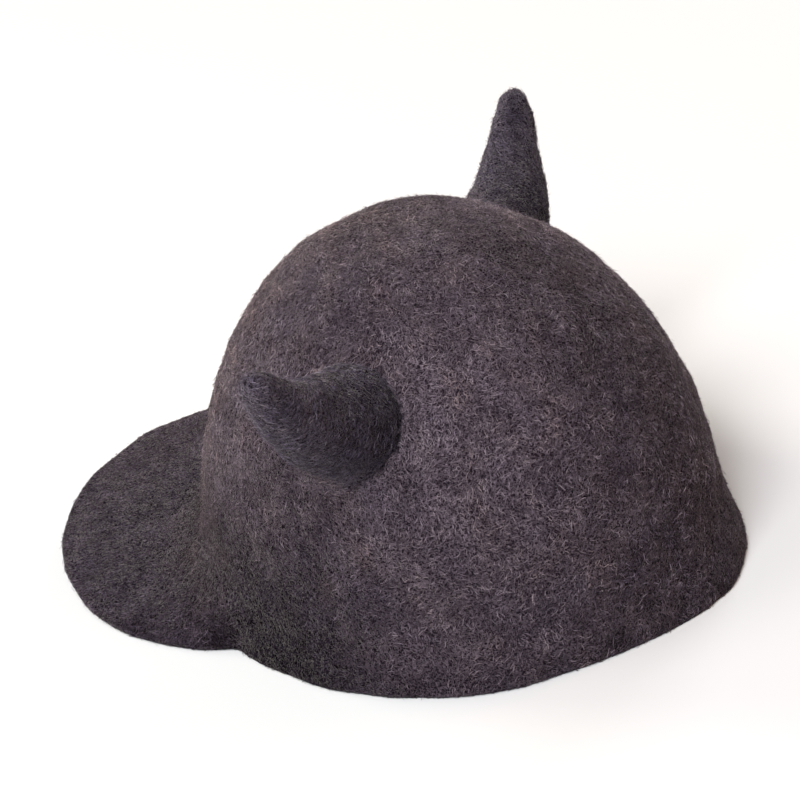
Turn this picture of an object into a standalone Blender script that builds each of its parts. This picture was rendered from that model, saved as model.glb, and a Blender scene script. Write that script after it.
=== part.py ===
"""Felt hat with a short peak and two horns, modelled as three solids of felted wool.

The crown and its peak are one hollow felt shell.  Each horn is a solid bent cone on the shell's side.
Units are metres.  +Z is up, the peak points to -Y and the wearer's left is +X.  The origin lies on
the surface that the rim rests on, halfway between the peak's edge and the back of the rim.
"""
import math

import bmesh
import bpy
import numpy as np
from mathutils import Vector

# Felt
WALL = 0.003
SEAT_GAP = 0.0003

# Crown: the outer face's reach from its upright axis at three levels of its rise
CROWN_HEIGHT = 0.138
CROWN_LEVELS = {
    # level: (to the front, to the back, to each side)
    "rim": (0.097, 0.103, 0.096),
    "shoulder": (0.100, 0.103, 0.0948),
    "top": (0.1012, 0.0812, 0.0862),
}
DOME_ROUNDING = 0.89

# Skirt: the wall below the dome, which runs out into the rim and the peak
WALL_FOOT = 0.0335
RIM_FLARE_SIDES = 0.0067
RIM_FLARE_BACK = 0.0111
RIM_SWELLS = (
    # (how far out, degrees behind the side's middle, degrees that it spreads each way)
    (-0.0038, 55.0, 33.0),
    (0.0010, -29.5, 27.5),
)
PEAK_REACH = 0.070
PEAK_HALF_SPREAD = math.radians(60.5)
PEAK_FULLNESS = 0.40
PEAK_EDGE_HEIGHT = 0.0095
PEAK_ROOT_DROOP = 0.0019
TRIM = 0.0015

# Skirt curve: its upper handle as a share of the drop and its lower one as a share of the run
RIM_HANDLES = (0.40, 0.30)
PEAK_HANDLES = (0.96, 0.64)
RIM_OUTWARD = 0.35

# Horns: where each stands on the dome, and which way it goes
HORN_RISE = math.radians(43.2)
HORN_ROOT_RADIUS = 0.0204
HORN_TIP_RADIUS = 0.0047
HORN_UPTURN = 0.0104
HORN_SAG = 0.0027
HORN_ROOT_DEPTH = 0.25
HORNS = {
    # name: (side, degrees that it splays to the front, degrees that it climbs, length, bend to the front)
    "horn_left": (1, 6.2, 34.0, 0.0614, 0.0),
    "horn_right": (-1, 7.6, 35.3, 0.0641, 0.0019),
}

# Fineness of the solids
COLUMNS = 64
DOME_ROWS = 15
SKIRT_ROWS = 8
HORN_STEPS = 14
HORN_BALL_ANGLES = (30, 60, 84)
HORN_BEVEL_RESOLUTION = 9
SEAT_FOOT = math.radians(12)
SEAT_DEPTH = 0.022

# The crown's axis stands this far behind the origin
PEAK_FRONT = CROWN_LEVELS["rim"][0] + PEAK_REACH
RIM_BACK = CROWN_LEVELS["rim"][1] + RIM_FLARE_BACK
CROWN_AXIS = (PEAK_FRONT - RIM_BACK) / 2

FELT_CROWN = {"colour": (0.066, 0.052, 0.060), "roughness": 0.95}
FELT_HORN = {"colour": (0.048, 0.043, 0.052), "roughness": 0.95}


def reach(rise, column):
    """Reach of the dome in metres: the parabola through the three levels of one column."""
    low, middle, high = (row[column] for row in CROWN_LEVELS.values())
    s = rise / (math.pi / 2)
    return low * (1 - s) * (1 - 2 * s) + middle * 4 * s * (1 - s) + high * s * (2 * s - 1)


def dome_point(rise, heading):
    """Outer face of the dome.

    rise runs from 0 at the rim's level to a quarter turn at the top.  The height goes with its sine and
    the width with a power of its cosine, under 1 so that the top is round and not pointed.  heading
    turns from the wearer's left towards the back.
    """
    front, back, side = (reach(rise, column) for column in range(3))
    width = np.cos(rise) ** DOME_ROUNDING
    along = (back + front) / 2 * np.sin(heading) + (back - front) / 2 * np.sin(heading) ** 2
    x = side * np.cos(heading) * width
    y = along * width + CROWN_AXIS
    z = CROWN_HEIGHT * np.sin(rise) + 0 * heading
    return np.stack([x, y, z], axis=-1)


def unit(vectors):
    return vectors / np.linalg.norm(vectors, axis=-1, keepdims=True)


def turned_share(angle, middle, half_spread):
    """1 where an angle is the middle one, 0 from the half spread onwards, a half cosine between."""
    away = np.abs((angle - middle + math.pi) % (2 * math.pi) - math.pi)
    return 0.5 + 0.5 * np.cos(math.pi * np.clip(away / half_spread, 0, 1))


def rim_flare(heading):
    """How far the rim stands out from the wall's foot: most at the back, less where the rim is tucked in
    on each side of it, and a little more at each root of the peak."""
    backness = np.clip(np.sin(heading), 0, 1) ** 5
    flare = RIM_FLARE_SIDES + (RIM_FLARE_BACK - RIM_FLARE_SIDES) * backness
    for swell, turned, spread in RIM_SWELLS:
        for middle in (turned, 180 - turned):
            flare = flare + swell * turned_share(heading, math.radians(middle), math.radians(spread))
    return flare


def skirt_rings(heading):
    """Rings from the dome's foot to the edge, a cubic curve at each heading.

    The curve leaves the dome along its wall.  It meets the edge going down and a little out at the
    rim, and straight out at the peak, so the peak joins the wall in a wide fillet.
    """
    foot_rise = math.asin(WALL_FOOT / CROWN_HEIGHT)
    foot = dome_point(foot_rise, heading)
    down = unit(dome_point(foot_rise - 0.001, heading) - foot)
    rim = dome_point(0.0, heading)
    front, back, side = CROWN_LEVELS["rim"]
    outward = unit(np.stack([np.cos(heading) / side, np.sin(heading) * 2 / (front + back), 0 * heading], -1))
    radial = unit(rim - np.array([0, CROWN_AXIS, 0]))
    share = turned_share(heading, -math.pi / 2, PEAK_HALF_SPREAD)[:, None] ** PEAK_FULLNESS
    flare = rim_flare(heading)[:, None]
    edge = rim + outward * flare * (1 - share) + radial * PEAK_REACH * share
    droop = PEAK_ROOT_DROOP * 4 * share * (1 - share)
    edge[:, 2:] = PEAK_EDGE_HEIGHT * share - droop - TRIM * (1 - share)

    swing = np.sqrt(share)
    upper, lower = (at_rim + (at_peak - at_rim) * swing for at_rim, at_peak in zip(RIM_HANDLES, PEAK_HANDLES))
    arrival = unit(outward * (RIM_OUTWARD + (1 - RIM_OUTWARD) * swing) - np.array([0, 0, 1]) * (1 - swing))
    run = np.linalg.norm(edge - foot, axis=-1, keepdims=True)
    first = foot + down * (WALL_FOOT - edge[:, 2:]) * upper
    second = edge - arrival * run * lower
    rings = []
    for row in range(1, SKIRT_ROWS + 1):
        u = row / SKIRT_ROWS
        near_wall = (1 - u) ** 3 * foot + 3 * (1 - u) ** 2 * u * first
        near_edge = 3 * (1 - u) * u ** 2 * second + u ** 3 * edge
        rings.append(near_wall + near_edge)
    return rings


def dome_rings(heading, foot_rise):
    """Rings from just under the top down to the foot, at even steps of the rise."""
    steps = np.linspace(math.pi / 2, foot_rise, DOME_ROWS + 1)[1:]
    return [dome_point(rise, heading) for rise in steps]


def open_loft(name, rings):
    """Open sheet through closed rings of points, shut at the crown's top, with its faces outward."""
    top = (0.0, CROWN_AXIS, CROWN_HEIGHT)
    points = [top] + [tuple(point) for ring in rings for point in ring]
    faces = []
    for column in range(COLUMNS):
        after = (column + 1) % COLUMNS
        faces.append((0, 1 + column, 1 + after))
        for row in range(len(rings) - 1):
            upper = 1 + row * COLUMNS
            lower = upper + COLUMNS
            faces.append((upper + column, lower + column, lower + after, upper + after))
    mesh = bpy.data.meshes.new(name)
    mesh.from_pydata(points, [], faces)
    return mesh


def new_object(name, mesh, collection):
    piece = bpy.data.objects.new(name, mesh)
    collection.objects.link(piece)
    return piece


def make_cutter(name, mesh, collection):
    cutter = new_object(name, mesh, collection)
    cutter.hide_render = True
    cutter.display_type = "WIRE"
    return cutter


def felt(name, finish):
    """Principled felt in one colour, rough and not metallic."""
    material = bpy.data.materials.new(name)
    material.use_nodes = True
    shader = material.node_tree.nodes["Principled BSDF"]
    shader.inputs["Base Color"].default_value = (*finish["colour"], 1.0)
    shader.inputs["Roughness"].default_value = finish["roughness"]
    shader.inputs["Metallic"].default_value = 0.0
    return material


def subtract(piece, cutter):
    cut = piece.modifiers.new("cut", "BOOLEAN")
    cut.operation = "DIFFERENCE"
    cut.object = cutter
    cut.solver = "EXACT"


def make_crown_and_peak(collection, cutters, heading):
    """The felt shell: dome and skirt as one sheet, thickened inwards, and trimmed flat at the rim."""
    foot_rise = math.asin(WALL_FOOT / CROWN_HEIGHT)
    rings = dome_rings(heading, foot_rise) + skirt_rings(heading)
    shell = new_object("crown_and_peak", open_loft("crown_and_peak", rings), collection)
    shell.data.materials.append(felt("felt_crown", FELT_CROWN))
    shell.data.shade_smooth()
    wall = shell.modifiers.new("felt wall", "SOLIDIFY")
    wall.thickness = WALL
    wall.offset = -1.0
    wall.use_even_offset = True

    size = 4 * PEAK_FRONT
    depth = 4 * WALL
    block = bmesh.new()
    bmesh.ops.create_cube(block, size=1.0)
    bmesh.ops.scale(block, vec=(size, size, depth), verts=block.verts)
    bmesh.ops.translate(block, vec=(0.0, 0.0, -depth / 2), verts=block.verts)
    mesh = bpy.data.meshes.new("rim_trim")
    block.to_mesh(mesh)
    block.free()
    subtract(shell, make_cutter("rim_trim", mesh, cutters))
    return shell


def make_horn_seat(cutters, heading):
    """Cutter that shapes the horns' roots: the dome's outer face a gap further out, and thick."""
    seat = make_cutter("horn_seat", open_loft("horn_seat", dome_rings(heading, SEAT_FOOT)), cutters)
    slab = seat.modifiers.new("slab", "SOLIDIFY")
    slab.thickness = SEAT_DEPTH
    slab.offset = 2 * SEAT_GAP / SEAT_DEPTH - 1
    slab.use_even_offset = True
    return seat


def horn_path(splay, climb, length, bend):
    """Points and radii of the left horn, from inside the shell to its rounded tip.

    The axis starts on the dome and runs out, a little forwards and up.  It turns up, and by its bend to
    the front, with the square of the distance, and sags in the middle by a half sine.  The radius
    falls evenly to the tip, which ends in half a ball.
    """
    root = Vector(dome_point(HORN_RISE, np.array([0.0]))[0])
    splay = math.radians(splay)
    climb = math.radians(climb)
    along = Vector((math.cos(splay) * math.cos(climb), -math.sin(splay) * math.cos(climb), math.sin(climb)))
    upward = (Vector((0, 0, 1)) - along * along.z).normalized()
    frontward = along.cross(upward)
    ball = HORN_TIP_RADIUS / length
    steps = list(np.linspace(-HORN_ROOT_DEPTH, 1 - ball, HORN_STEPS))
    steps += [1 - ball + ball * math.sin(math.radians(angle)) for angle in HORN_BALL_ANGLES]
    path = []
    for share in steps:
        out = max(share, 0.0)
        lift = HORN_UPTURN * out ** 2 - HORN_SAG * math.sin(math.pi * out)
        point = root + along * length * share + upward * lift + frontward * bend * out ** 2
        radius = HORN_TIP_RADIUS + (HORN_ROOT_RADIUS - HORN_TIP_RADIUS) * (1 - out)
        beyond = max(share - (1 - ball), 0.0) / ball
        path.append((point, radius * math.sqrt(1 - beyond ** 2)))
    return path


def make_horn(name, collection, seat, side, course):
    """A bent cone of solid felt: a bevelled curve with its own radius at each point, cut to its seat."""
    curve = bpy.data.curves.new(name + "_axis", "CURVE")
    curve.dimensions = "3D"
    curve.bevel_depth = 1.0
    curve.bevel_resolution = HORN_BEVEL_RESOLUTION
    curve.use_fill_caps = True
    spline = curve.splines.new("POLY")
    path = horn_path(*course)
    spline.points.add(len(path) - 1)
    for control, (point, radius) in zip(spline.points, path):
        control.co = (side * point.x, point.y, point.z, 1.0)
        control.radius = radius
    axis = new_object(name + "_axis", curve, collection)
    bpy.context.view_layer.update()
    evaluated = axis.evaluated_get(bpy.context.evaluated_depsgraph_get())
    mesh = bpy.data.meshes.new_from_object(evaluated)
    mesh.name = name
    horn = new_object(name, mesh, collection)
    horn.matrix_world = axis.matrix_world
    bpy.data.objects.remove(axis)

    body = bmesh.new()
    body.from_mesh(mesh)
    bmesh.ops.remove_doubles(body, verts=body.verts, dist=0.00001)
    bmesh.ops.recalc_face_normals(body, faces=body.faces)
    body.to_mesh(mesh)
    body.free()
    mesh.materials.clear()
    mesh.materials.append(felt("felt_" + name, FELT_HORN))
    mesh.shade_smooth()
    subtract(horn, seat)
    return horn


def main():
    for leftover in list(bpy.data.objects):
        bpy.data.objects.remove(leftover)
    parts = bpy.data.collections.new("felt_hat")
    cutters = bpy.data.collections.new("cutters")
    bpy.context.scene.collection.children.link(parts)
    bpy.context.scene.collection.children.link(cutters)

    heading = np.linspace(0, 2 * math.pi, COLUMNS, endpoint=False)
    make_crown_and_peak(parts, cutters, heading)
    seat = make_horn_seat(cutters, heading)
    for name, (side, *course) in HORNS.items():
        make_horn(name, parts, seat, side, course)


main()
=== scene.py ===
"""Looks of the felt hat: the felted cap with its peak, the two horns, their nap, the light and the camera.

Units are metres, in the frame of the solids: +Z up, the peak to -Y, the wearer's left +X.  The felt
surfaces follow the same named sizes and formulas as the solids, on a finer grid and with the
unevenness of hand felting.  The nap is short curled fibres laid on that felt.
"""

import math

import bpy
import numpy as np
from mathutils import Matrix, Vector


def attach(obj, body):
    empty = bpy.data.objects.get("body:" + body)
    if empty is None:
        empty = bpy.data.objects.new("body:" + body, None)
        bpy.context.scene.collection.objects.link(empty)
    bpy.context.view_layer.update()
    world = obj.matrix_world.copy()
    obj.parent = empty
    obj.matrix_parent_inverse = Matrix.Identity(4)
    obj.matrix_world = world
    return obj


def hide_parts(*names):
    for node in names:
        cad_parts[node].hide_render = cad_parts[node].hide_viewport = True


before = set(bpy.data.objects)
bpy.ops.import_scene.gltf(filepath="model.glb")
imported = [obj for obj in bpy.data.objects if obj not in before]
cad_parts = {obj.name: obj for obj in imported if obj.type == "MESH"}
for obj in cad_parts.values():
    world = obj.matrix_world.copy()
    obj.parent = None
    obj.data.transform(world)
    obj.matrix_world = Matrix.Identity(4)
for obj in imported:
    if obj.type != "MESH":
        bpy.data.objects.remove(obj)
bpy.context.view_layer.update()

# Felt: its wall, the round of its lip, and how far the lip is pressed flat where the hat stands on it
WALL = 0.003
LIP = WALL / 2
RIM_PRESS = 0.0002

# Crown: the outer face's reach from its upright axis at three levels of its rise
CROWN_HEIGHT = 0.138
CROWN_LEVELS = {
    # level: (to the front, to the back, to each side)
    "rim": (0.097, 0.103, 0.096),
    "shoulder": (0.100, 0.103, 0.0948),
    "top": (0.1012, 0.0812, 0.0862),
}
DOME_ROUNDING = 0.89

# Skirt: the wall below the dome, which runs out into the rim and the peak
WALL_FOOT = 0.0335
RIM_FLARE_SIDES = 0.0067
RIM_FLARE_BACK = 0.0111
BACK_NARROWNESS = 5
RIM_SWELLS = (
    # (how far out, degrees behind the side's middle, degrees that it spreads each way)
    (-0.0038, 55.0, 33.0),
    (0.0010, -29.5, 27.5),
)
PEAK_REACH = 0.070
PEAK_HALF_SPREAD = math.radians(60.5)
PEAK_FULLNESS = 0.40
PEAK_EDGE_HEIGHT = 0.0095
PEAK_ROOT_DROOP = 0.0019
# The rim's curve is aimed this far under the floor, and its lip ends it before
TRIM = 0.0015

# Skirt curve: its upper handle as a share of the drop and its lower one as a share of the run, and
# how much it leans out where it arrives at the rim
RIM_HANDLES = (0.40, 0.30)
PEAK_HANDLES = (0.96, 0.64)
RIM_OUTWARD = 0.35

# Reach of the peak and of the rim's back from the crown's axis, and how far this stands behind the
# origin, which is halfway between the two
PEAK_FRONT = CROWN_LEVELS["rim"][0] + PEAK_REACH
RIM_BACK = CROWN_LEVELS["rim"][1] + RIM_FLARE_BACK
CROWN_AXIS = (PEAK_FRONT - RIM_BACK) / 2

# Horns: where they stand on the dome, their girth and their bend
HORN_RISE = math.radians(43.2)
HORN_ROOT_RADIUS = 0.0204
HORN_TIP_RADIUS = 0.0047
HORN_UPTURN = 0.0104
HORN_SAG = 0.0027
HORNS = {
    # name: (side, degrees that it splays to the front, degrees that it climbs, length, bend to the front)
    "horn_left": (1, 6.2, 34.0, 0.0614, 0.0),
    "horn_right": (-1, 7.6, 35.3, 0.0641, 0.0019),
}

# The felt of a horn runs out on the crown in a fillet, wide below and in front and tight behind.
# Angles round a horn turn from its upper side towards the back.
FILLET_WIDE = 0.0095
FILLET_TIGHT = 0.0012
FILLET_WIDE_MIDDLE = math.radians(240)
FILLET_WIDE_SPREAD = math.radians(125)
# It ends this far under the crown's surface, and the root behind it is sunk by so much more
FILLET_SINK = 0.0004
ROOT_SINK = 0.0016

# Unevenness of hand felting: (length of a wave, how far it stands out)
CROWN_LUMPS = ((0.055, 0.00055), (0.017, 0.00028), (0.0055, 0.00010))
HORN_LUMPS = ((0.024, 0.00055), (0.009, 0.00028), (0.0045, 0.00010))
# How many waves of each length are drawn, and how far their lengths vary
WAVES_EACH = 18
WAVE_SPREAD = (0.7, 1.4)
OUTER_LUMPS_SEED = 11
INNER_LUMPS_SEED = 12

# Fineness of the felt surfaces
COLUMNS = 340
DOME_ROWS = 96
SKIRT_ROWS = 36
LIP_ROWS = 6
INSIDE_ROWS = 42
HORN_COLUMNS = 120
FILLET_ROWS = 9
ROOT_ROWS = 8
HORN_ROWS = 66
# The rows of a horn draw together towards its tip
TIP_CROWDING = 1.15

# Fineness of the searches: for directions on the dome, for the end of the skirt's curve, for the dome
# itself, and for a horn's foot on it
RISE_STEP = 0.001
FACING_STEP = 0.0004
END_STEPS = 400
END_EVENING = 4
DOME_STEPS = 8
NEAR_TOP = 0.9999
FOOT_WITHIN = 0.6
FOOT_STEPS = 26

# Painted light and shade on the cap, on both sides alike: painted shade in a band along the rim,
# in the fold at the front of the crown low down, and over its top.  The band and the front lie below their
# height and the top above it.  Each grows over its border, and the front also over a turn in degrees
# from the side's middle.  How much darker or cooler a place is painted counts as a share, and below 0
# the wool is painted lighter.
RIM_PAINTED_SHADE = {"height": 0.0085, "border": 0.004, "darker": 0.18}
FRONT_PAINTED_SHADE = {"height": 0.070, "border": 0.032, "turn": 30, "darker": 0.52}
TOP_PAINTED_SHADE = {"height": 0.118, "border": 0.024, "darker": 0.05}
PAINTED_LIGHT_SPOTS = (
    # (middle, reach, how much darker, how much cooler)
    # Painted shade behind the root of the peak, low on the wall, and its darkest part
    ((0.099, 0.005, 0.002), 0.066, 0.62, 0.42),
    ((0.099, -0.002, 0.004), 0.038, 0.52, 0.25),
    # Painted light in front of it, where the rim turns into the peak
    ((0.089, -0.034, 0.006), 0.026, -0.30, 0.0),
    # Painted shade under the horn, and below that on the wall
    ((0.081, 0.002, 0.070), 0.036, 0.20, 0.0),
    ((0.093, 0.023, 0.044), 0.032, 0.26, 0.0),
    # Painted light on the crown behind the horn
    ((0.066, 0.066, 0.088), 0.048, -0.26, 0.0),
)

# Painted light and shade round the crown, lighter on the side that faces the lamps and darker where it
# turns away to the back: degrees behind the side's middle and how light the wool is painted
PAINTED_LIGHT_TURNS = (-90.0, -45.0, -28.0, -8.0, 12.0, 52.0, 70.0, 86.0)
PAINTED_LIGHT_ROUND = (1.0, 1.0, 0.92, 0.92, 1.15, 1.11, 0.81, 0.70)
# Painted warmth of the warm rim light towards the front, and a cooler painted shade towards the back:
# degrees behind the side's middle and how much warmer the wool is painted
PAINTED_WARMTH_TURNS = (-90.0, -60.0, -40.0, 55.0, 75.0, 90.0)
PAINTED_WARMTH_STEP = (0.20, 0.20, 0.0, 0.0, -0.12, 0.0)

# The peak has its own painted shade on its upward face, darkest by the crown's wall: where it starts
# and over what border it grows, how light it is painted at two distances, and how much warmer.
# Distances from the crown's axis are shares of the rim's reach in front.
PEAK_START = 1.08
PEAK_BORDER = 0.15
PEAK_REACHES = (1.10, 1.55)
PEAK_PAINTED_LIGHT = (0.49, 0.63)
PEAK_WARM = -0.40

# Borders in the wool are ragged: the waves that they follow, and how far these move each border
RAGGED_WAVES = ((0.020, 1.0), (0.007, 0.7))
RAGGED_SEED = 71
RAGGED_BAND = 0.25
RAGGED_SPOT = 0.06
RAGGED_TURN = 5.0

# Painted light and shade along the horns: shares of the rows from the root to the tip, and how light the
# wool is painted there
HORN_SHARES = (0.0, 0.11, 0.24, 0.60)
HORN_PAINTED_LIGHT = (1.48, 1.38, 1.00, 1.25)
# Painted light: the left horn, on the near and lit side, is lighter by this share, and the right one darker
PAINTED_PAIR_LIGHT = 0.06
# Painted shade: the side of a horn that faces back, away from the lamps and into the crease with the
# crown, is darker and cooler, and this fades on the way to its tip
BACK_SIDE_PAINTED_SHADE = {
    "middle": math.radians(70),
    "spread": math.radians(115),
    "darker": 0.62,
    "cooler": 0.4,
    "fade_start": 0.12,
    "fade_border": 0.5,
    "faded": 0.75,
}
# The fillet is warmer, and this ends at so many times its rows
FILLET_WARM = 0.36
FILLET_WARM_END = 1.3

# Threads of the felt under the nap: (how many to a metre, how curly, how thick)
THREADS = ((300.0, 1.4, 0.030), (450.0, 1.2, 0.035), (650.0, 0.9, 0.040))

# Nap: how many long, short and loose fibres a piece has, how much lighter the loose ones are, and the
# seed of its random draws
NAP = {
    "crown_nap_front": ((27600, 41400, 0), 0.45, 100),
    "crown_nap_back": ((27600, 41400, 0), 0.45, 101),
    "crown_loose_hairs": ((0, 0, 19000), 0.45, 102),
    "peak_nap": ((18400, 27600, 4500), 0.40, 200),
    "inside_nap": ((11200, 16800, 1500), 0.40, 300),
    "horn_nap_left": ((4800, 7200, 2800), 0.24, 21),
    "horn_nap_right": ((4800, 7200, 2800), 0.24, 22),
}

# Fibres: stations along one as shares of its length from its middle, ranges of its length and width,
# its curl, how far it stands off the felt, the share of fibres that lift an end, how far, and its roll.
# LYING is what long and short ones share.
LYING = {
    "width": (0.00022, 0.00034),
    "curl": 2.2,
    "loft": 0.00045,
    "lifted": 0.08,
    "lift": (0.0003, 0.0011),
    "roll": 0.25,
}
FIBRES = {
    "long": {"stations": (-0.5, -0.17, 0.17, 0.5), "length": (0.0014, 0.0026), **LYING},
    "short": {"stations": (-0.5, 0.0, 0.5), "length": (0.0009, 0.0015), **LYING},
    "loose": {
        "stations": (-0.5, -0.2, 0.2, 0.5),
        "length": (0.0020, 0.0038),
        "width": (0.00010, 0.00016),
        "curl": 2.4,
        "loft": 0.0008,
        "lifted": 0.35,
        "lift": (0.0004, 0.0015),
        "roll": 0.9,
    },
}
# Most fibres lie low: the shape of the beta draw of their height, and the least that it is
LOFT_DRAW = (1.3, 2.2)
LEAST_LOFT = 0.00004
# A fibre's two ends dip into the felt, and none goes under the floor
END_DIP = 0.00022
NAP_FLOOR = 0.0001

# Lay of the nap: (how much the course of its fibres varies, their middle tone, how far tones spread)
OUTSIDE_LAY = (0.7, 0.42, 0.30)
INSIDE_LAY = (0.9, 0.40, 0.28)
HORN_LAY = (0.6, 0.36, 0.29)
# Seeds of the swirls and patches in it.  A horn's is the seed of its fibres plus the last of these.
OUTSIDE_SWIRLS = 40
INSIDE_SWIRLS = 60
HORN_SWIRLS_MORE = 5
# Swirls, patches of tone and patches of warmth: (length of a wave, how much it changes)
SWIRL_WAVES = ((0.030, 1.6),)
TONE_WAVES = ((0.022, 0.06), (0.009, 0.05), (0.005, 0.05))
WARMTH_WAVES = ((0.018, 0.10),)
# Most fibres are dark: the shape of the beta draw of their tone, and about twice its mean
TONE_DRAW = (1.5, 3.0)
TONE_MEAN = 0.66
# The step in tone for the logarithm of how light the wool is painted
TONE_STEP = 0.38
# A lighter patch is warmer too, and a fibre's own warmth varies
PATCH_WARMTH = 0.6
CHANCE_WARMTH = 0.05

# Combing of the nap towards the peak, by shares of the rim's reach in front: where it starts, over
# what way it grows, and how much of the swirl it takes
COMB_START = 0.55
COMB_BORDER = 0.5
COMBED = 0.55
# Ring of the cap where the crown's nap ends and the peak's begins
NAP_PARTING = DOME_ROWS + 7

# Nap of a horn: how fully it runs round the root, and how much less it does at the tip
HORN_ROUND = 1.25
HORN_STRAIGHTENING = 1.1
# It swirls by the first of these times what the second has over how fully it runs round
HORN_SWIRL = 0.5
HORN_SWIRL_MOST = 1.2
# How far each fibre strays besides
HORN_CHANCE = 0.3

# Map of the fibres: the half width of a fibre's lozenge, the map's margin and the span inside it
LOZENGE = 0.004
MAP_MARGIN = 0.008
MAP_SPAN = 0.984

# Finish of the wool.  Tones run from 0, the darkest fibre, to 1, and warmths from 0, the coolest, to 1.
FELT_ROUGHNESS = 0.92
SHEEN_ROUGHNESS = 0.15
FIBRE_SPECULAR = 0.06
CAP_TONES = (
    (0.0, (0.0176, 0.0121, 0.0170)),
    (0.30, (0.058, 0.0432, 0.0558)),
    (0.60, (0.122, 0.0950, 0.120)),
    (0.85, (0.239, 0.191, 0.231)),
    (1.0, (0.361, 0.297, 0.340)),
)
HORN_TONES = (
    (0.0, (0.0179, 0.0139, 0.0199)),
    (0.30, (0.0538, 0.0436, 0.0622)),
    (0.60, (0.116, 0.0970, 0.133)),
    (0.85, (0.235, 0.199, 0.251)),
    (1.0, (0.372, 0.329, 0.377)),
)
WARMTHS = (
    (0.0, (0.935, 0.928, 1.10)),
    (0.5, (1.0, 1.0, 1.0)),
    (1.0, (1.13, 1.01, 0.86)),
)

# Camera: where it stands, in degrees and metres from the point that it is aimed at, and its lens
CAMERA = {"azimuth": 119.2, "elevation": 29.3, "roll": 9.1, "distance": 0.802}
AIM = Vector((0.0093, -0.0117 + CROWN_AXIS, 0.0663))
FOCUS_PIXELS = 2132
IMAGE_PIXELS = 800
SENSOR = 36.0

# Light: square soft boxes that face the same point
LAMP_DISTANCE = 2.6
LAMP_SIZE = 1.2
LAMPS = {
    # name: (azimuth, elevation, watts, colour)
    "high_light": (89, 50, 71, (0.99, 1.0, 1.0)),
    "left_light": (29, 50, 20, (1.0, 0.93, 0.85)),
    "top_light": (119, 75, 9, (0.95, 1.0, 0.90)),
    "front_rim_light": (359, 12, 62, (1.0, 0.955, 0.80)),
    "back_rim_light": (269, 12, 42, (0.98, 0.98, 1.0)),
    "warm_rim_light": (224, 22, 24, (1.0, 0.62, 0.38)),
}

# Room: the floor, and a backdrop that looks white and sheds only a faint light
FLOOR_HALF = 2.4
FLOOR_COLOUR = (0.735, 0.74, 0.77, 1.0)
BACKDROP_LIGHT = 0.03
BACKDROP_SEEN = 0.92


def unit(vectors):
    """Vectors divided by their lengths."""
    return vectors / np.maximum(np.linalg.norm(vectors, axis=-1, keepdims=True), 1e-12)


def turned_share(angle, middle, half_spread):
    """1 where an angle is the middle one, 0 from the half spread onwards, a half cosine between."""
    away = np.abs((angle - middle + math.pi) % (2 * math.pi) - math.pi)
    return 0.5 + 0.5 * np.cos(math.pi * np.clip(away / half_spread, 0, 1))


def smooth_share(value):
    """0 below 0, 1 above 1, and a smooth step between."""
    value = np.clip(value, 0, 1)
    return value * value * (3 - 2 * value)


def unevenness(points, waves, seed):
    """How far hand felting stands out at each point: for each wave length, the sum of sine waves that
    cross the felt in random directions, scaled so that it mostly stays within the given height."""
    rng = np.random.default_rng(seed)
    total = np.zeros(points.shape[:-1])
    for length, height in waves:
        directions = unit(rng.normal(size=(WAVES_EACH, 3)))
        lengths = length * rng.uniform(*WAVE_SPREAD, WAVES_EACH)
        phases = rng.uniform(0, 2 * math.pi, WAVES_EACH)
        crossing = points @ (directions / lengths[:, None] * 2 * math.pi).T + phases
        total += height * math.sqrt(1 / WAVES_EACH) * np.sin(crossing).sum(axis=-1)
    return total


# Shape of the cap

def reach(rise, column):
    """Reach of the dome: the parabola through the three levels of one column."""
    low, middle, high = (row[column] for row in CROWN_LEVELS.values())
    s = rise / (math.pi / 2)
    return low * (1 - s) * (1 - 2 * s) + middle * 4 * s * (1 - s) + high * s * (2 * s - 1)


def dome_point(rise, heading):
    """Outer face of the dome.  The height goes with the sine of the rise and the width with a power of
    its cosine.  The heading turns from the wearer's left towards the back."""
    front, back, side = (reach(rise, column) for column in range(3))
    width = np.cos(rise) ** DOME_ROUNDING
    along = (back + front) / 2 * np.sin(heading) + (back - front) / 2 * np.sin(heading) ** 2
    parts = np.broadcast_arrays(
        side * np.cos(heading) * width, along * width + CROWN_AXIS, CROWN_HEIGHT * np.sin(rise)
    )
    return np.stack(parts, axis=-1)


def rim_flare(heading):
    """How far the rim stands out from the wall's foot: most at the back, less where the rim is tucked in
    on each side of it, and a little more at each root of the peak."""
    backness = np.clip(np.sin(heading), 0, 1) ** BACK_NARROWNESS
    flare = RIM_FLARE_SIDES + (RIM_FLARE_BACK - RIM_FLARE_SIDES) * backness
    for swell, turned, spread in RIM_SWELLS:
        for middle in (turned, 180 - turned):
            flare = flare + swell * turned_share(heading, math.radians(middle), math.radians(spread))
    return flare


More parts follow.
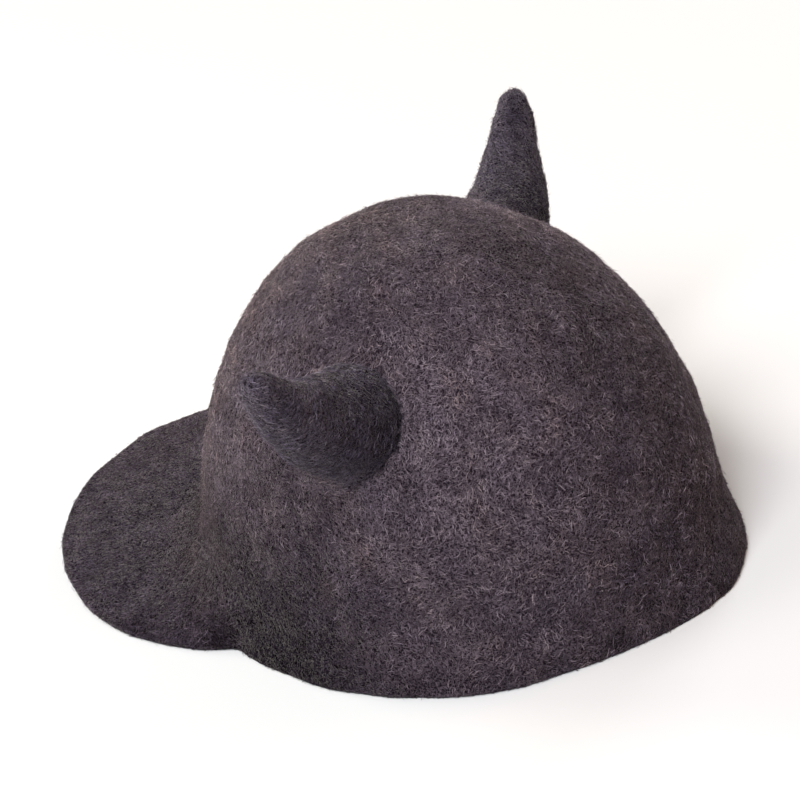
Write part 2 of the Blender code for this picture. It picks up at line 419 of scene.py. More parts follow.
def skirt_point(u, heading):
    """Outer face below the dome: at each heading a cubic curve, from the dome's foot at u = 0 to the edge
    at u = 1.  It leaves along the wall, and meets the edge going down and a little out at the rim,
    and straight out at the peak."""
    foot_rise = math.asin(WALL_FOOT / CROWN_HEIGHT)
    foot = dome_point(foot_rise, heading)
    down = unit(dome_point(foot_rise - RISE_STEP, heading) - foot)
    rim = dome_point(0.0, heading)
    front, back, side = CROWN_LEVELS["rim"]
    outward = np.stack([np.cos(heading) / side, np.sin(heading) * 2 / (front + back), 0 * heading], -1)
    outward = unit(outward)
    radial = unit(rim - np.array([0, CROWN_AXIS, 0]))
    share = turned_share(heading, -math.pi / 2, PEAK_HALF_SPREAD)[..., None] ** PEAK_FULLNESS
    flare = rim_flare(heading)[..., None]
    edge = rim + outward * flare * (1 - share) + radial * PEAK_REACH * share
    droop = PEAK_ROOT_DROOP * 4 * share * (1 - share)
    edge[..., 2:] = PEAK_EDGE_HEIGHT * share - droop - TRIM * (1 - share)

    swing = np.sqrt(share)
    handles = zip(RIM_HANDLES, PEAK_HANDLES)
    upper, lower = (at_rim + (at_peak - at_rim) * swing for at_rim, at_peak in handles)
    downwards = np.array([0, 0, 1]) * (1 - swing)
    arrival = unit(outward * (RIM_OUTWARD + (1 - RIM_OUTWARD) * swing) - downwards)
    run = np.linalg.norm(edge - foot, axis=-1, keepdims=True)
    first = foot + down * (WALL_FOOT - edge[..., 2:]) * upper
    second = edge - arrival * run * lower
    u = u[..., None]
    near_wall = (1 - u) ** 3 * foot + 3 * (1 - u) ** 2 * u * first
    near_edge = 3 * (1 - u) * u ** 2 * second + u ** 3 * edge
    return near_wall + near_edge


def facing(grid):
    """Unit normals of a grid of rings: the direction down the rows crossed with the one round the ring."""
    down = np.gradient(grid, axis=0)
    around = np.roll(grid, -1, axis=1) - np.roll(grid, 1, axis=1)
    return unit(np.cross(down, around))


def skirt_ends(heading):
    """How far each column's curve runs before its rounded lip, in its lower half: to where the lip
    reaches the solid's edge, or to where it stands on the floor, whichever comes first, evened out
    round the hat."""
    u = np.linspace(0.5, 1.0, END_STEPS)[:, None] + 0 * heading
    curve = skirt_point(u, heading[None, :])
    middle = curve - facing(curve) * LIP
    off_floor = middle[..., 2] >= LIP - RIM_PRESS
    off_edge = np.linalg.norm(curve - curve[-1], axis=-1) >= LIP
    ends = np.where(off_floor & off_edge, u, 0).max(axis=0)
    return np.mean([np.roll(ends, shift) for shift in range(-END_EVENING, END_EVENING + 1)], axis=0)


def outer_felt():
    """Rings of the cap's outer face, from just under the top to where the lip begins."""
    heading = np.linspace(0, 2 * math.pi, COLUMNS, endpoint=False)
    foot_rise = math.asin(WALL_FOOT / CROWN_HEIGHT)
    rises = np.linspace(math.pi / 2, foot_rise, DOME_ROWS + 1)[1:]
    dome = dome_point(rises[:, None], heading[None, :])
    u = np.linspace(0, 1, SKIRT_ROWS + 1)[1:, None] * skirt_ends(heading)[None, :]
    return np.concatenate([dome, skirt_point(u, heading[None, :])])


def cap_rings():
    """Rings of the whole cap: down its uneven outer face, round the lip in a half circle, and up the
    inner face, one wall inside."""
    smooth = outer_felt()
    normals = facing(smooth)
    outer = smooth + normals * unevenness(smooth, CROWN_LUMPS, OUTER_LUMPS_SEED)[..., None]
    inner = smooth - normals * (WALL + unevenness(smooth, CROWN_LUMPS[1:], INNER_LUMPS_SEED)[..., None])
    middle = (outer[-1] + inner[-1]) / 2
    thick = (outer[-1] - inner[-1]) / 2
    out = unit(outer[-1] - outer[-2]) * np.linalg.norm(thick, axis=-1, keepdims=True)
    turns = np.linspace(0, math.pi, LIP_ROWS + 2)[1:-1, None, None]
    lip = middle + thick * np.cos(turns) + out * np.sin(turns)
    rows = np.unique(np.linspace(len(inner) - 1, 0, INSIDE_ROWS).round().astype(int))[::-1]
    parts = (outer, lip, inner[rows])
    for rings in parts:
        rings[..., 2] = np.maximum(rings[..., 2], 0)
    return parts


def painted_light_of_cap(points):
    """Painted light and shade on the cap: how light its wool is painted, and how much warmer.

    Round the crown both go with the turn behind the side's middle: painted light on the side that faces
    the lamps, painted shade towards the back, and painted warmth towards the front.  Painted shade at the
    front of the crown low down, over its top and in a band along the rim, and a few round spots of painted
    shade and light, each make the wool darker or lighter by a share, and the darkest painted shade is
    cooler too.  The peak has its own painted shade, lighter towards its edge.  Waves in the felt make the
    borders ragged.
    """
    ragged = unevenness(points, RAGGED_WAVES, RAGGED_SEED)
    sideways = np.abs(points[..., 0])
    backwards = points[..., 1] - CROWN_AXIS
    height = points[..., 2]
    out = np.hypot(sideways, backwards) / CROWN_LEVELS["rim"][0]
    on_peak = smooth_share((out - PEAK_START) / PEAK_BORDER) * (backwards < 0)

    # Painted shade in a band low along the rim, near the floor
    in_band = (RIM_PAINTED_SHADE["height"] - height) / RIM_PAINTED_SHADE["border"] + 0.5 + RAGGED_BAND * ragged
    band = RIM_PAINTED_SHADE["darker"] * smooth_share(in_band) * (1 - on_peak)
    mirrored = np.stack([sideways, points[..., 1], height], -1)
    light = 1.0
    cool = 0.0
    # Round spots of painted shade and light
    for middle, spread, darker, cooler in PAINTED_LIGHT_SPOTS:
        away = np.linalg.norm(mirrored - middle, axis=-1)
        share = smooth_share(1 - away / spread + RAGGED_SPOT * ragged)
        light = light * (1 - darker * share)
        cool = cool + cooler * share

    turn = np.degrees(np.arctan2(backwards, sideways)) + RAGGED_TURN * ragged
    # Painted light and shade round the crown and on the peak
    painted_level = np.interp(turn, PAINTED_LIGHT_TURNS, PAINTED_LIGHT_ROUND)
    painted_level = painted_level + (np.interp(out, PEAK_REACHES, PEAK_PAINTED_LIGHT) - painted_level) * on_peak
    # Painted shade in the fold low on the crown's front, above the peak
    low = smooth_share((FRONT_PAINTED_SHADE["height"] - height) / FRONT_PAINTED_SHADE["border"])
    front = FRONT_PAINTED_SHADE["darker"] * low * smooth_share(-turn / FRONT_PAINTED_SHADE["turn"])
    # Painted shade over the crown's top
    top = TOP_PAINTED_SHADE["darker"] * smooth_share((height - TOP_PAINTED_SHADE["height"]) / TOP_PAINTED_SHADE["border"])
    painted_level = painted_level * (1 - front * (1 - on_peak)) * (1 - top)
    # Painted warmth of the rim light towards the front, cooler towards the back
    warm = np.interp(turn, PAINTED_WARMTH_TURNS, PAINTED_WARMTH_STEP)
    return (1 - band) * light * painted_level, (warm - cool) * (1 - on_peak) + PEAK_WARM * on_peak


# Shape of the horns

def dome_clearance(points):
    """How far points stand outside the dome, level with them, and where the dome is there.  The heading
    that points at them is found by correcting a first guess by the angle that it misses."""
    rise = np.arcsin(np.clip(points[..., 2] / CROWN_HEIGHT, -1, NEAR_TOP))
    aim = np.arctan2(points[..., 1] - CROWN_AXIS, points[..., 0])
    heading = aim
    for _ in range(DOME_STEPS):
        met = dome_point(rise, heading)
        miss = aim - np.arctan2(met[..., 1] - CROWN_AXIS, met[..., 0])
        heading = heading + (miss + math.pi) % (2 * math.pi) - math.pi
    met = dome_point(rise, heading)
    own = np.hypot(points[..., 0], points[..., 1] - CROWN_AXIS)
    return own - np.hypot(met[..., 0], met[..., 1] - CROWN_AXIS), met


def dome_facing(points):
    """Unit normal of the dome level with each point, from the clearance a short step each way."""
    steps = np.eye(3) * FACING_STEP
    gains = [dome_clearance(points + step)[0] - dome_clearance(points - step)[0] for step in steps]
    return unit(np.stack(gains, axis=-1))


def horn_point(share, angle, course):
    """Surface of the left horn: a ring of its own radius about a bent axis.

    The axis starts on the dome and runs out, a little forwards and up.  It turns up, and by its bend to
    the front, with the square of the distance, and sags in the middle by a half sine.  The radius
    falls evenly to the tip, which ends in half a ball.  The angle turns from the horn's upper side
    towards the back.
    """
    root = dome_point(HORN_RISE, 0.0)
    splay, climb = (math.radians(degrees) for degrees in course[:2])
    length, bend = course[2:]
    level = math.cos(climb)
    along = np.array([math.cos(splay) * level, -math.sin(splay) * level, math.sin(climb)])
    upward = unit(np.array([0, 0, 1]) - along * along[2])
    across = np.cross(upward, along)
    share = share[..., None]
    angle = angle[..., None]
    out = np.maximum(share, 0)
    lift = HORN_UPTURN * out ** 2 - HORN_SAG * np.sin(math.pi * out)
    slope = 2 * HORN_UPTURN * out - HORN_SAG * math.pi * np.cos(math.pi * out) * (share > 0)
    tangent = unit(along * length + upward * slope - across * bend * 2 * out)
    ring_up = unit(upward - tangent * (tangent @ upward)[..., None])
    ring_back = np.cross(ring_up, tangent)
    ball = HORN_TIP_RADIUS / length
    beyond = np.clip((share - (1 - ball)) / ball, 0, 1)
    radius = (HORN_TIP_RADIUS + (HORN_ROOT_RADIUS - HORN_TIP_RADIUS) * (1 - out)) * np.sqrt(1 - beyond ** 2)
    axis = root + along * length * share + upward * lift - across * bend * out ** 2
    return axis + radius * (ring_up * np.cos(angle) + ring_back * np.sin(angle))


def horn_rings(side, course, seed):
    """Rings of one horn: from inside the wall, over the fillet that runs out of the crown, to the tip.

    At each angle the horn's side is followed inwards to where it meets the dome.  The fillet is the
    parabola with that point as its corner, from the dome to the horn's side.
    """
    angle = np.linspace(0, 2 * math.pi, HORN_COLUMNS, endpoint=False)
    inside = np.full(HORN_COLUMNS, -FOOT_WITHIN)
    outside = np.full(HORN_COLUMNS, FOOT_WITHIN)
    for _ in range(FOOT_STEPS):
        halfway = (inside + outside) / 2
        clear = dome_clearance(horn_point(halfway, angle, course))[0] > 0
        outside = np.where(clear, halfway, outside)
        inside = np.where(clear, inside, halfway)
    corner = horn_point(outside, angle, course)
    wide = turned_share(angle, FILLET_WIDE_MIDDLE, FILLET_WIDE_SPREAD)
    width = FILLET_TIGHT + (FILLET_WIDE - FILLET_TIGHT) * wide
    normal = dome_facing(corner)
    away = corner - corner.mean(axis=0)
    away = unit(away - normal * (away * normal).sum(axis=-1, keepdims=True))
    on_dome = dome_clearance(corner + away * width[:, None])[1] - normal * FILLET_SINK
    starts = outside + width / course[2]
    on_horn = horn_point(starts, angle, course)
    t = np.linspace(0, 1, FILLET_ROWS + 1)[:, None, None]
    fillet = (1 - t) ** 2 * on_dome + 2 * t * (1 - t) * corner + t ** 2 * on_horn
    spread = np.sin(np.linspace(0, math.pi / 2, HORN_ROWS + 1)[1:-1, None]) ** TIP_CROWDING
    shares = starts + (1 - starts) * spread
    body = horn_point(shares, angle[None, :], course)
    sunk = (on_dome - normal * ROOT_SINK - away * ROOT_SINK)[None]
    rings = np.concatenate([sunk, fillet, body])
    normals = facing(rings)
    fade = np.clip((np.arange(len(rings)) - 1) / FILLET_ROWS, 0, 1)[:, None]
    rings = rings + normals * (unevenness(rings, HORN_LUMPS, seed) * fade)[..., None]
    end = horn_point(np.array([1.0]), np.array([0.0]), course)[0]
    if side < 0:
        mirror = np.array([-1, 1, 1])
        rings = rings[:, ::-1] * mirror
        end = end * mirror
    return rings, end


def root_rings(edge):
    """Rings that close a horn's root inside the crown's wall.  They are the root's edge, shrunk to its
    middle in even steps, and each point goes out level to the dome and then down under its surface."""
    middle = edge.mean(axis=0)
    shares = np.linspace(0, 1, ROOT_ROWS + 1)[:-1, None, None]
    met = dome_clearance(middle + (edge - middle) * shares)[1]
    return met - dome_facing(met) * (FILLET_SINK + ROOT_SINK)


def painted_light_of_horn(row, column, rows, side):
    """Painted light and shade on a horn: how light its wool is painted, by the share of its rows up to
    there, and how much darker the painted shade is where the root faces back: a half cosine round the
    horn, which fades towards the tip."""
    share = row / rows
    turn = column / HORN_COLUMNS * 2 * math.pi * side
    # Painted shade where the root faces back
    fade = BACK_SIDE_PAINTED_SHADE["faded"] * smooth_share((share - BACK_SIDE_PAINTED_SHADE["fade_start"]) / BACK_SIDE_PAINTED_SHADE["fade_border"])
    back = BACK_SIDE_PAINTED_SHADE["darker"] * turned_share(turn, BACK_SIDE_PAINTED_SHADE["middle"], BACK_SIDE_PAINTED_SHADE["spread"]) * (1 - fade)
    # Painted light along the horn, lighter for the left one
    return np.interp(share, HORN_SHARES, HORN_PAINTED_LIGHT) * (1 - back) * (1 + PAINTED_PAIR_LIGHT * side), back


# Meshes

def new_piece(name, points, faces, material, replaced=(), places=None, shade=None):
    """Object at the origin from an array of points and arrays of faces, each with its own corner count.
    places gives each face corner its place on the piece's own map, and shade each point its painted light
    and shade."""
    mesh = bpy.data.meshes.new(name)
    mesh.vertices.add(len(points))
    mesh.vertices.foreach_set("co", points.astype(np.float32).ravel())
    corners = np.concatenate([array.ravel() for array in faces])
    counts = np.concatenate([np.full(len(array), array.shape[1]) for array in faces])
    mesh.loops.add(len(corners))
    mesh.loops.foreach_set("vertex_index", corners.astype(np.int32))
    mesh.polygons.add(len(counts))
    mesh.polygons.foreach_set("loop_start", (np.cumsum(counts) - counts).astype(np.int32))
    mesh.polygons.foreach_set("use_smooth", np.ones(len(counts), bool))
    if places is not None:
        layer = mesh.uv_layers.new(name="OFBake")
        layer.data.foreach_set("uv", places.astype(np.float32).ravel())
    if shade is not None:
        layer = mesh.attributes.new("shade", "FLOAT", "POINT")
        layer.data.foreach_set("value", shade.astype(np.float32))
    mesh.update(calc_edges=True)
    mesh.validate()
    mesh.materials.append(material)
    piece = bpy.data.objects.new(name, mesh)
    bpy.context.scene.collection.objects.link(piece)
    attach(piece, "root")
    for node in replaced:
        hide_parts(node)


def closed_skin(start, rings, end):
    """Points and faces of a closed surface through a start point, rings of points and an end point."""
    rows, columns = rings.shape[:2]
    points = np.concatenate([[start], rings.reshape(-1, 3), [end]])
    column = np.arange(columns)
    after = (column + 1) % columns
    first = np.stack([0 * column, 1 + column, 1 + after], axis=-1)
    upper = 1 + np.arange(rows - 1)[:, None] * columns
    lower = upper + columns
    sides = np.stack([upper + column, lower + column, lower + after, upper + after], axis=-1).reshape(-1, 4)
    last_row = 1 + (rows - 1) * columns
    last = np.stack([last_row + column, 0 * column + len(points) - 1, last_row + after], axis=-1)
    return points, [first, sides, last]


def ring_top(ring):
    """Point that closes a dome over its last ring: over the ring's middle, level with its highest point."""
    return ring.mean(axis=0) * np.array([1, 1, 0]) + [0, 0, ring[:, 2].max()]


# Nap

def scatter(rings, count, rng, share):
    """Places spread evenly by area over rings of points: a cell is drawn by its area, then a place in it.
    Gives the places, their normals and the directions down the rows and round the rings.  share is
    0 for the columns that stay bare."""
    after = np.roll(rings, -1, axis=1)
    area = np.linalg.norm(np.cross(after[1:] - rings[:-1], rings[1:] - after[:-1]), axis=-1) * share
    total = np.cumsum(area.ravel())
    cell = np.searchsorted(total, rng.uniform(0, total[-1], count))
    row, column = np.divmod(cell, rings.shape[1])
    down = rng.uniform(size=(count, 1))
    around = rng.uniform(size=(count, 1))
    normals = facing(rings)
    normals_after = np.roll(normals, -1, axis=1)

    def between(array, array_after):
        above = array[row, column] * (1 - around) + array_after[row, column] * around
        below = array[row + 1, column] * (1 - around) + array_after[row + 1, column] * around
        return above * (1 - down) + below * down

    places = between(rings, after)
    normal = unit(between(normals, normals_after))
    downward = rings[row + 1, column] - rings[row, column]
    downward = unit(downward - normal * (downward * normal).sum(-1, keepdims=True))
    return {
        "places": places,
        "normal": normal,
        "down": downward,
        "around": np.cross(normal, downward),
        "row": row + down[:, 0],
        "column": column + around[:, 0],
    }


def take_seats(name, rings, share=1):
    """Random draws of one piece of nap, and the places where its fibres sit."""
    counts, _, seed = NAP[name]
    rng = np.random.default_rng(seed)
    return rng, scatter(rings, sum(counts), rng, share)


def nap_fields(seats, rng, waves_seed, lay, shade=1.0, warm=0.0):
    """Course, tone and warmth of fibres: swirls and patches that drift over the felt, and chance.
    Painted light and shade move the tone by a step of their logarithm."""
    spread, tone_middle, tone_spread = lay
    places = seats["places"]
    swirl = unevenness(places, SWIRL_WAVES, waves_seed)
    patch = unevenness(places, TONE_WAVES, waves_seed + 1)
    hue = unevenness(places, WARMTH_WAVES, waves_seed + 2)
    count = len(places)
    course = swirl + rng.normal(0, spread, count)
    bright = rng.beta(*TONE_DRAW, count) * tone_spread * 2
    tone = tone_middle - tone_spread * TONE_MEAN + bright + patch + np.log(shade) * TONE_STEP
    warmth = 0.5 + warm + hue + PATCH_WARMTH * patch + rng.normal(0, CHANCE_WARMTH, count)
    return course, tone, warmth


def comb_share(points):
    """How freely the nap swirls: fully on the crown, and less towards the peak, where it lies combed
    out to the edge."""
    forward = (CROWN_AXIS - points[..., 1]) / CROWN_LEVELS["rim"][0]
    return 1 - COMBED * smooth_share((forward - COMB_START) / COMB_BORDER)


def fibres(seats, course, tone, warmth, kind, rng):
    """Points, triangles and map places of curled fibres lying on the felt, each a ribbon with two pointed
    ends and a pair of points at each station between.

    A fibre is an arc in the plane of the felt: at distance s from its middle it has turned by s times
    its curl.  It lies a little over the felt, and a loose one lifts one end.  The ribbon is rolled
    about its own line by a random angle.  course is the fibres' angle from the way down the piece.
    """
    make = FIBRES[kind]
    count = len(course)
    size = rng.uniform(*make["length"], count)
    turn = rng.normal(0, make["curl"], count)
    half_width = rng.uniform(*make["width"], count) / 2
    height = rng.beta(*LOFT_DRAW, count) * make["loft"] + LEAST_LOFT
    lift = np.where(rng.uniform(size=count) < make["lifted"], rng.uniform(*make["lift"], count), 0.0)
    roll = rng.normal(0, make["roll"], count)
    stations = np.array(make["stations"])
    angle = turn[:, None] * stations
    ahead = size[:, None] * stations * np.sinc(angle / 2 / math.pi)
    run = ahead * np.cos(angle / 2)
    drift = ahead * np.sin(angle / 2)
    dip = np.where(np.abs(stations) == 0.5, -END_DIP, 0.0)
    rise = height[:, None] + dip + lift[:, None] * (stations + 0.5) ** 2
    along = seats["down"] * np.cos(course)[:, None] + seats["around"] * np.sin(course)[:, None]
    beside = np.cross(seats["normal"], along)
    along, beside, normal = (way[:, None, :] for way in (along, beside, seats["normal"]))
    line = seats["places"][:, None, :] + along * run[..., None] + beside * drift[..., None]
    line = line + normal * rise[..., None]
    heading = along * np.cos(angle)[..., None] + beside * np.sin(angle)[..., None]
    edge = np.cross(normal, heading) * np.cos(roll)[:, None, None] + normal * np.sin(roll)[:, None, None]
    half = edge * half_width[:, None, None]
    pairs = np.stack([line - half, line + half], axis=2)[:, 1:-1]
    pairs = pairs.reshape(count, -1, 3)
    points = np.concatenate([line[:, :1], pairs, line[:, -1:]], axis=1)

    # Corners: tip, then left and right at each station, then tip
    each = points.shape[1]
    pattern = [[0, 1, 2]]
    for corner in range(1, each - 3, 2):
        pattern += [[corner, corner + 2, corner + 3], [corner, corner + 3, corner + 1]]
    pattern = np.array(pattern + [[each - 3, each - 1, each - 2]])
    faces = (np.arange(count)[:, None, None] * each + pattern).reshape(-1, 3)
    # The map: across it goes the fibre's tone and up it its warmth, each ribbon a small lozenge
    inner = [[x, y * 2] for y in stations[1:-1] for x in (-1, 1)]
    lozenge = np.array([[0, -1], *inner, [0, 1]]) * LOZENGE
    centre = np.stack([np.clip(tone, 0, 1), np.clip(warmth, 0, 1)], axis=-1) * MAP_SPAN + MAP_MARGIN
    places = (centre[:, None, :] + lozenge)[:, pattern].reshape(-1, 2)
    return points.reshape(-1, 3), faces, places


def lay_nap(name, seats, course, tone, warmth, rng, material):
    """The nap of one piece: its long, short and loose fibres, the loose ones lighter, in one mesh."""
    counts, loose_tone, _ = NAP[name]
    points, faces, places = [], [], []
    done = 0
    laid = 0
    for kind, count in zip(FIBRES, counts):
        if count == 0:
            continue
        kept = slice(done, done + count)
        done += count
        own = {key: array[kept] for key, array in seats.items()}
        lighter = loose_tone if kind == "loose" else 0.0
        part = fibres(own, course[kept], tone[kept] + lighter, warmth[kept], kind, rng)
        points.append(part[0])
        faces.append(part[1] + laid)
        places.append(part[2])
        laid += len(part[0])
    points = np.concatenate(points)
    points[:, 2] = np.maximum(points[:, 2], NAP_FLOOR)
    new_piece(name, points, faces, material, places=np.concatenate(places))


# Materials

def add_node(tree, kind, inputs=None, **settings):
    """Node of one kind with its settings and the values or links of its inputs."""
    node = tree.nodes.new(kind)
    for key, value in settings.items():
        setattr(node, key, value)
    for key, value in (inputs or {}).items():
        if isinstance(value, bpy.types.NodeSocket):
            tree.links.new(value, node.inputs[key])
        else:
            node.inputs[key].default_value = value
    return node


def add_math(tree, operation, *values):
    """Result of one operation on one value or two."""
    return add_node(tree, "ShaderNodeMath", dict(enumerate(values)), operation=operation).outputs[0]


def add_noise(tree, place, scale, detail, distortion=0.0):
    """Smooth noise with so many waves to a metre."""
    return add_node(tree, "ShaderNodeTexNoise", {
        "Vector": place, "Scale": scale, "Detail": detail, "Roughness": 0.5, "Distortion": distortion,
    }).outputs["Fac"]


def add_ramp(tree, value, stops):
    """Colour ramp with a stop for each (position, colour) pair."""
    node = add_node(tree, "ShaderNodeValToRGB", {"Fac": value})
    elements = node.color_ramp.elements
    for _ in range(len(stops) - 2):
        elements.new(0.5)
    for element, (position, colour) in zip(elements, stops):
        element.position = position
        element.color = (*colour, 1.0)
    return node.outputs["Color"]


def new_material(name):
    """Material without nodes, and its tree."""
    material = bpy.data.materials.new(name)
    material.use_nodes = True
    material.node_tree.nodes.clear()
    return material, material.node_tree


def finish_felt(tree, colour, normal, specular, sheen, tint):
    """Principled felt: very rough, with a sheen of loose fibre ends."""
    shader = add_node(tree, "ShaderNodeBsdfPrincipled", {
        "Base Color": colour,
        "Roughness": FELT_ROUGHNESS,
        "Specular IOR Level": specular,
        "Sheen Weight": sheen,
        "Sheen Roughness": SHEEN_ROUGHNESS,
        "Sheen Tint": (*tint, 1.0),
    })
    if normal is not None:
        tree.links.new(normal, shader.inputs["Normal"])
    add_node(tree, "ShaderNodeOutputMaterial", {"Surface": shader.outputs["BSDF"]})


def thread_lines(tree, place, scale, distortion, thickness):
    """Curly threads: 1 on the lines where a noise passes through its middle value, 0 away from them."""
    noise = add_noise(tree, place, scale, 1.0, distortion)
    away = add_math(tree, "ABSOLUTE", add_math(tree, "SUBTRACT", noise, 0.5))
    return add_node(tree, "ShaderNodeMapRange", {
        "Value": away, "From Min": 0.0, "From Max": thickness, "To Min": 1.0, "To Max": 0.0,
    }, interpolation_type="SMOOTHSTEP").outputs["Result"]


def felt_ground(name, dark, light, sheen, tint):
    """The matted felt under the nap: curly threads in three sizes over dark pits, whose darkness is partly
    the felt's own and partly painted shade, in tones that drift, scaled by the painted light and shade.
    """
    material, tree = new_material(name)
    place = add_node(tree, "ShaderNodeTexCoord").outputs["Object"]
    web, *finer = [thread_lines(tree, place, *thread) for thread in THREADS]
    for line in finer:
        web = add_math(tree, "MAXIMUM", web, line)
    grain = add_noise(tree, place, 1100.0, 1.0)
    cloud = add_noise(tree, place, 90.0, 2.0)
    drift = add_node(tree, "ShaderNodeMapRange", {
        "Value": add_math(tree, "ADD", grain, cloud),
        "From Min": 0.72,
        "From Max": 1.28,
        "To Min": 0.25,
        "To Max": 1.0,
    }).outputs["Result"]
    strength = add_math(tree, "MULTIPLY", web, drift)
    wool = add_ramp(tree, strength, ((0.0, dark), (1.0, light)))
    # Painted light and shade of each point scale the wool's colour
    shade = add_node(tree, "ShaderNodeAttribute", attribute_name="shade").outputs["Fac"]
    colour = add_node(tree, "ShaderNodeVectorMath", {0: wool, "Scale": shade}, operation="SCALE").outputs[0]
    bump = add_node(tree, "ShaderNodeBump", {"Strength": 0.8, "Distance": 0.0004, "Height": strength})
    finish_felt(tree, colour, bump.outputs["Normal"], 0.0, sheen, tint)
    return material


def nap_wool(name, tones, sheen, tint):
    """Wool of the fibres: the tone is read across the piece's own map, and the warmth up it."""
    material, tree = new_material(name)
    place = add_node(tree, "ShaderNodeUVMap", uv_map="OFBake").outputs["UV"]
    split = add_node(tree, "ShaderNodeSeparateXYZ", {"Vector": place})
    colour = add_node(tree, "ShaderNodeMix", {
        "Factor": 1.0,
        "A": add_ramp(tree, split.outputs["X"], tones),
        "B": add_ramp(tree, split.outputs["Y"], WARMTHS),
    }, data_type="RGBA", blend_type="MULTIPLY")
    finish_felt(tree, colour.outputs["Result"], None, FIBRE_SPECULAR, sheen, tint)
    return material


# Pieces

def make_cap(felt, wool, low_wool):
    """The cap: its felt, closed over the top outside and inside, and its nap: on the crown's front and
    back halves, loose hairs over both, on the skirt with the peak and rim, and inside."""
    outer, lip, inner = cap_rings()
    rings = np.concatenate([outer, lip, inner])
    points, faces = closed_skin(ring_top(outer[0]), rings, ring_top(inner[-1]))
    # Painted light and shade on the felt, carried by its shade attribute
    shade, _ = painted_light_of_cap(points)
    new_piece("felt_cap", points, faces, felt, replaced=["crown_and_peak"], shade=shade)

    dome = outer[:NAP_PARTING + 1]
    skirt = np.concatenate([outer[NAP_PARTING:], lip, inner[:1]])
    front_half = np.arange(COLUMNS) > COLUMNS // 2
    outside = {
        # piece: (rings that it covers, share of each column, wool)
        "crown_nap_front": (dome, front_half, wool),
        "crown_nap_back": (dome, ~front_half, wool),
        "crown_loose_hairs": (dome, 1, wool),
        "peak_nap": (skirt, 1, low_wool),
    }
    for name, (covered, share, own_wool) in outside.items():
        rng, seats = take_seats(name, covered, share)
        # Painted light, shade and warmth on the nap
        shade, warm = painted_light_of_cap(seats["places"])
        course, tone, warmth = nap_fields(seats, rng, OUTSIDE_SWIRLS, OUTSIDE_LAY, shade, warm)
        course = course * comb_share(seats["places"])
        lay_nap(name, seats, course, tone, warmth, rng, own_wool)

    rng, seats = take_seats("inside_nap", inner)
    course, tone, warmth = nap_fields(seats, rng, INSIDE_SWIRLS, INSIDE_LAY)
    lay_nap("inside_nap", seats, course, tone, warmth, rng, wool)


def make_horn(name, nap_name, felt, wool):
    """One horn: its felt, closed inside the crown's wall and at the tip, and its nap, which runs round the
    root and turns along the horn towards the tip."""
    side, *course = HORNS[name]
    seed = NAP[nap_name][-1]
    rings, end = horn_rings(side, course, seed)
    root = root_rings(rings[0])
    points, faces = closed_skin(root[0, 0], np.concatenate([root[1:], rings]), end)
    row, column = np.indices(rings.shape[:2])
    # Painted light and shade along the horn's felt
    shade = np.ones(len(points))
    shade[-1 - row.size:-1] = painted_light_of_horn(row, column, len(rings), side)[0].ravel()
    new_piece("felt_" + name, points, faces, felt, replaced=[name], shade=shade)

    rng, seats = take_seats(nap_name, rings[1:])
    # Painted light and shade on the horn's nap, and the share that is the painted shade of its back
    shade, back = painted_light_of_horn(seats["row"], seats["column"], len(rings), side)
    course, tone, warmth = nap_fields(seats, rng, seed + HORN_SWIRLS_MORE, HORN_LAY, shade)
    share = np.clip(seats["row"] / len(rings), 0, 1)
    round_ring = np.clip(HORN_ROUND - share * HORN_STRAIGHTENING, 0, 1)
    course = course * HORN_SWIRL * (HORN_SWIRL_MOST - round_ring) + math.pi / 2 * round_ring
    course = course + rng.normal(0, HORN_CHANCE, len(course))
    in_fillet = smooth_share(FILLET_WARM_END - seats["row"] / FILLET_ROWS)
    # The painted shade at the back of the root is cooler too
    warmth = warmth + FILLET_WARM * in_fillet - BACK_SIDE_PAINTED_SHADE["cooler"] * back
    lay_nap(nap_name, seats, course, tone, warmth, rng, wool)


# Floor, light and camera

def direction(azimuth, elevation):
    """Direction from the hat to a viewer: azimuth 0 is in front of the peak, at -Y, and 90 is at +X."""
    a = math.radians(azimuth)
    e = math.radians(elevation)
    return Vector((math.sin(a) * math.cos(e), -math.cos(a) * math.cos(e), math.sin(e)))


def make_camera():
    """Camera that looks at the aim along its direction, with its right and up turned by the roll."""
    back = direction(CAMERA["azimuth"], CAMERA["elevation"])
    azimuth = math.radians(CAMERA["azimuth"])
    right = Vector((math.cos(azimuth), math.sin(azimuth), 0))
    up = back.cross(right)
    roll = math.radians(CAMERA["roll"])
    turned_right = right * math.cos(roll) - up * math.sin(roll)
    turned_up = right * math.sin(roll) + up * math.cos(roll)
    lens = bpy.data.cameras.new("camera")
    lens.sensor_width = SENSOR
    lens.lens = SENSOR * FOCUS_PIXELS / IMAGE_PIXELS
    lens.clip_start = 0.05
    lens.clip_end = 20.0
    camera = bpy.data.objects.new("camera", lens)
    axes = Matrix((turned_right, turned_up, back)).transposed()
    camera.matrix_world = Matrix.Translation(AIM + back * CAMERA["distance"]) @ axes.to_4x4()
    bpy.context.scene.collection.objects.link(camera)
    bpy.context.scene.camera = camera


def make_lamp(name, azimuth, elevation, watts, colour):
    """Square soft light that faces the point that the camera is aimed at."""
    light = bpy.data.lights.new(name, "AREA")
    light.size = LAMP_SIZE
    light.energy = watts
    light.color = colour
    lamp = bpy.data.objects.new(name, light)
    lamp.visible_camera = False
    towards = direction(azimuth, elevation)
    lamp.location = AIM + towards * LAMP_DISTANCE
    lamp.rotation_mode = "QUATERNION"
    lamp.rotation_quaternion = towards.to_track_quat("Z", "Y")
    bpy.context.scene.collection.objects.link(lamp)


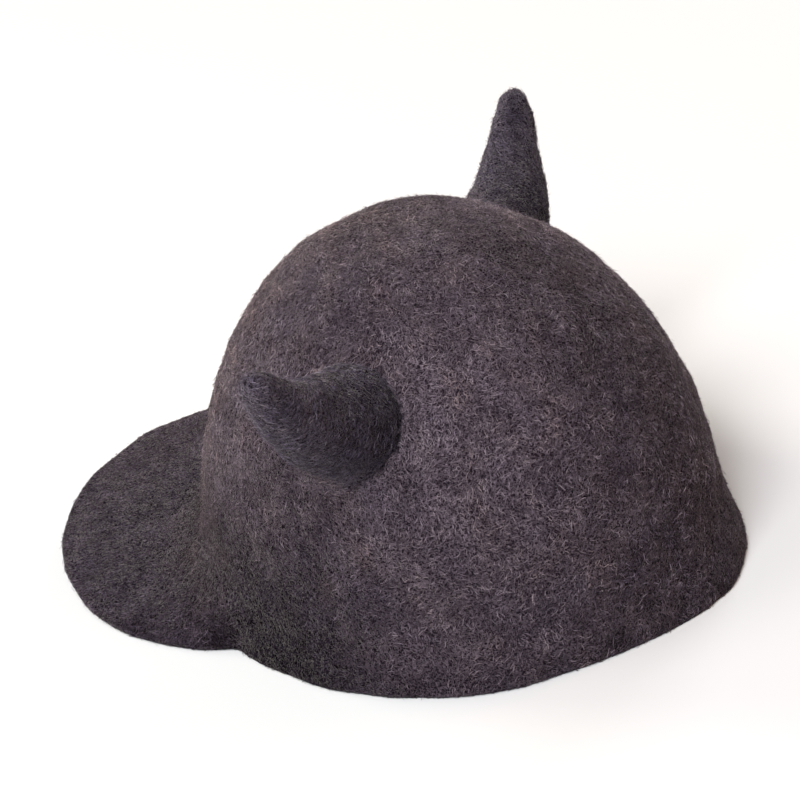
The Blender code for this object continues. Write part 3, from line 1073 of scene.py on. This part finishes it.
def make_floor():
    """Square pale floor under the hat."""
    corners = [(x * FLOOR_HALF, y * FLOOR_HALF, 0) for x, y in ((-1, -1), (1, -1), (1, 1), (-1, 1))]
    mesh = bpy.data.meshes.new("floor")
    mesh.from_pydata(corners, [], [(0, 1, 2, 3)])
    material, tree = new_material("pale_floor")
    paint = add_node(tree, "ShaderNodeBsdfPrincipled", {
        "Base Color": FLOOR_COLOUR, "Roughness": 0.9, "Specular IOR Level": 0.1,
    })
    add_node(tree, "ShaderNodeOutputMaterial", {"Surface": paint.outputs["BSDF"]})
    mesh.materials.append(material)
    floor = bpy.data.objects.new("floor", mesh)
    bpy.context.scene.collection.objects.link(floor)


def make_backdrop():
    """World that the camera sees nearly white, and that lights the hat only faintly."""
    world = bpy.data.worlds.new("studio")
    world.use_nodes = True
    tree = world.node_tree
    tree.nodes.clear()
    faint, bright = (
        add_node(tree, "ShaderNodeBackground", {"Color": (1.0, 1.0, 1.0, 1.0), "Strength": strength})
        for strength in (BACKDROP_LIGHT, BACKDROP_SEEN)
    )
    seen = add_node(tree, "ShaderNodeLightPath").outputs["Is Camera Ray"]
    both = add_node(tree, "ShaderNodeMixShader", {0: seen, 1: faint.outputs[0], 2: bright.outputs[0]})
    add_node(tree, "ShaderNodeOutputWorld", {"Surface": both.outputs[0]})
    bpy.context.scene.world = world


make_camera()
make_floor()
make_backdrop()
for lamp_name, lamp_values in LAMPS.items():
    make_lamp(lamp_name, *lamp_values)
bpy.context.scene.view_settings.view_transform = "Standard"

CAP_GROUND = felt_ground(
    "cap_ground",
    dark=(0.0135, 0.0092, 0.0131),
    light=(0.180, 0.139, 0.173),
    sheen=0.4,
    tint=(1.0, 0.93, 0.88),
)
HORN_GROUND = felt_ground(
    "horn_ground",
    dark=(0.0124, 0.0093, 0.0131),
    light=(0.141, 0.112, 0.148),
    sheen=0.5,
    tint=(1.0, 0.95, 0.90),
)
CAP_WOOL = nap_wool("cap_wool", CAP_TONES, sheen=0.6, tint=(1.0, 0.92, 0.84))
SKIRT_WOOL = nap_wool("skirt_wool", CAP_TONES, sheen=0.3, tint=(1.0, 0.93, 1.0))
HORN_WOOL = nap_wool("horn_wool", HORN_TONES, sheen=0.5, tint=(1.0, 0.95, 0.90))
make_cap(CAP_GROUND, CAP_WOOL, SKIRT_WOOL)
make_horn("horn_left", "horn_nap_left", HORN_GROUND, HORN_WOOL)
make_horn("horn_right", "horn_nap_right", HORN_GROUND, HORN_WOOL)
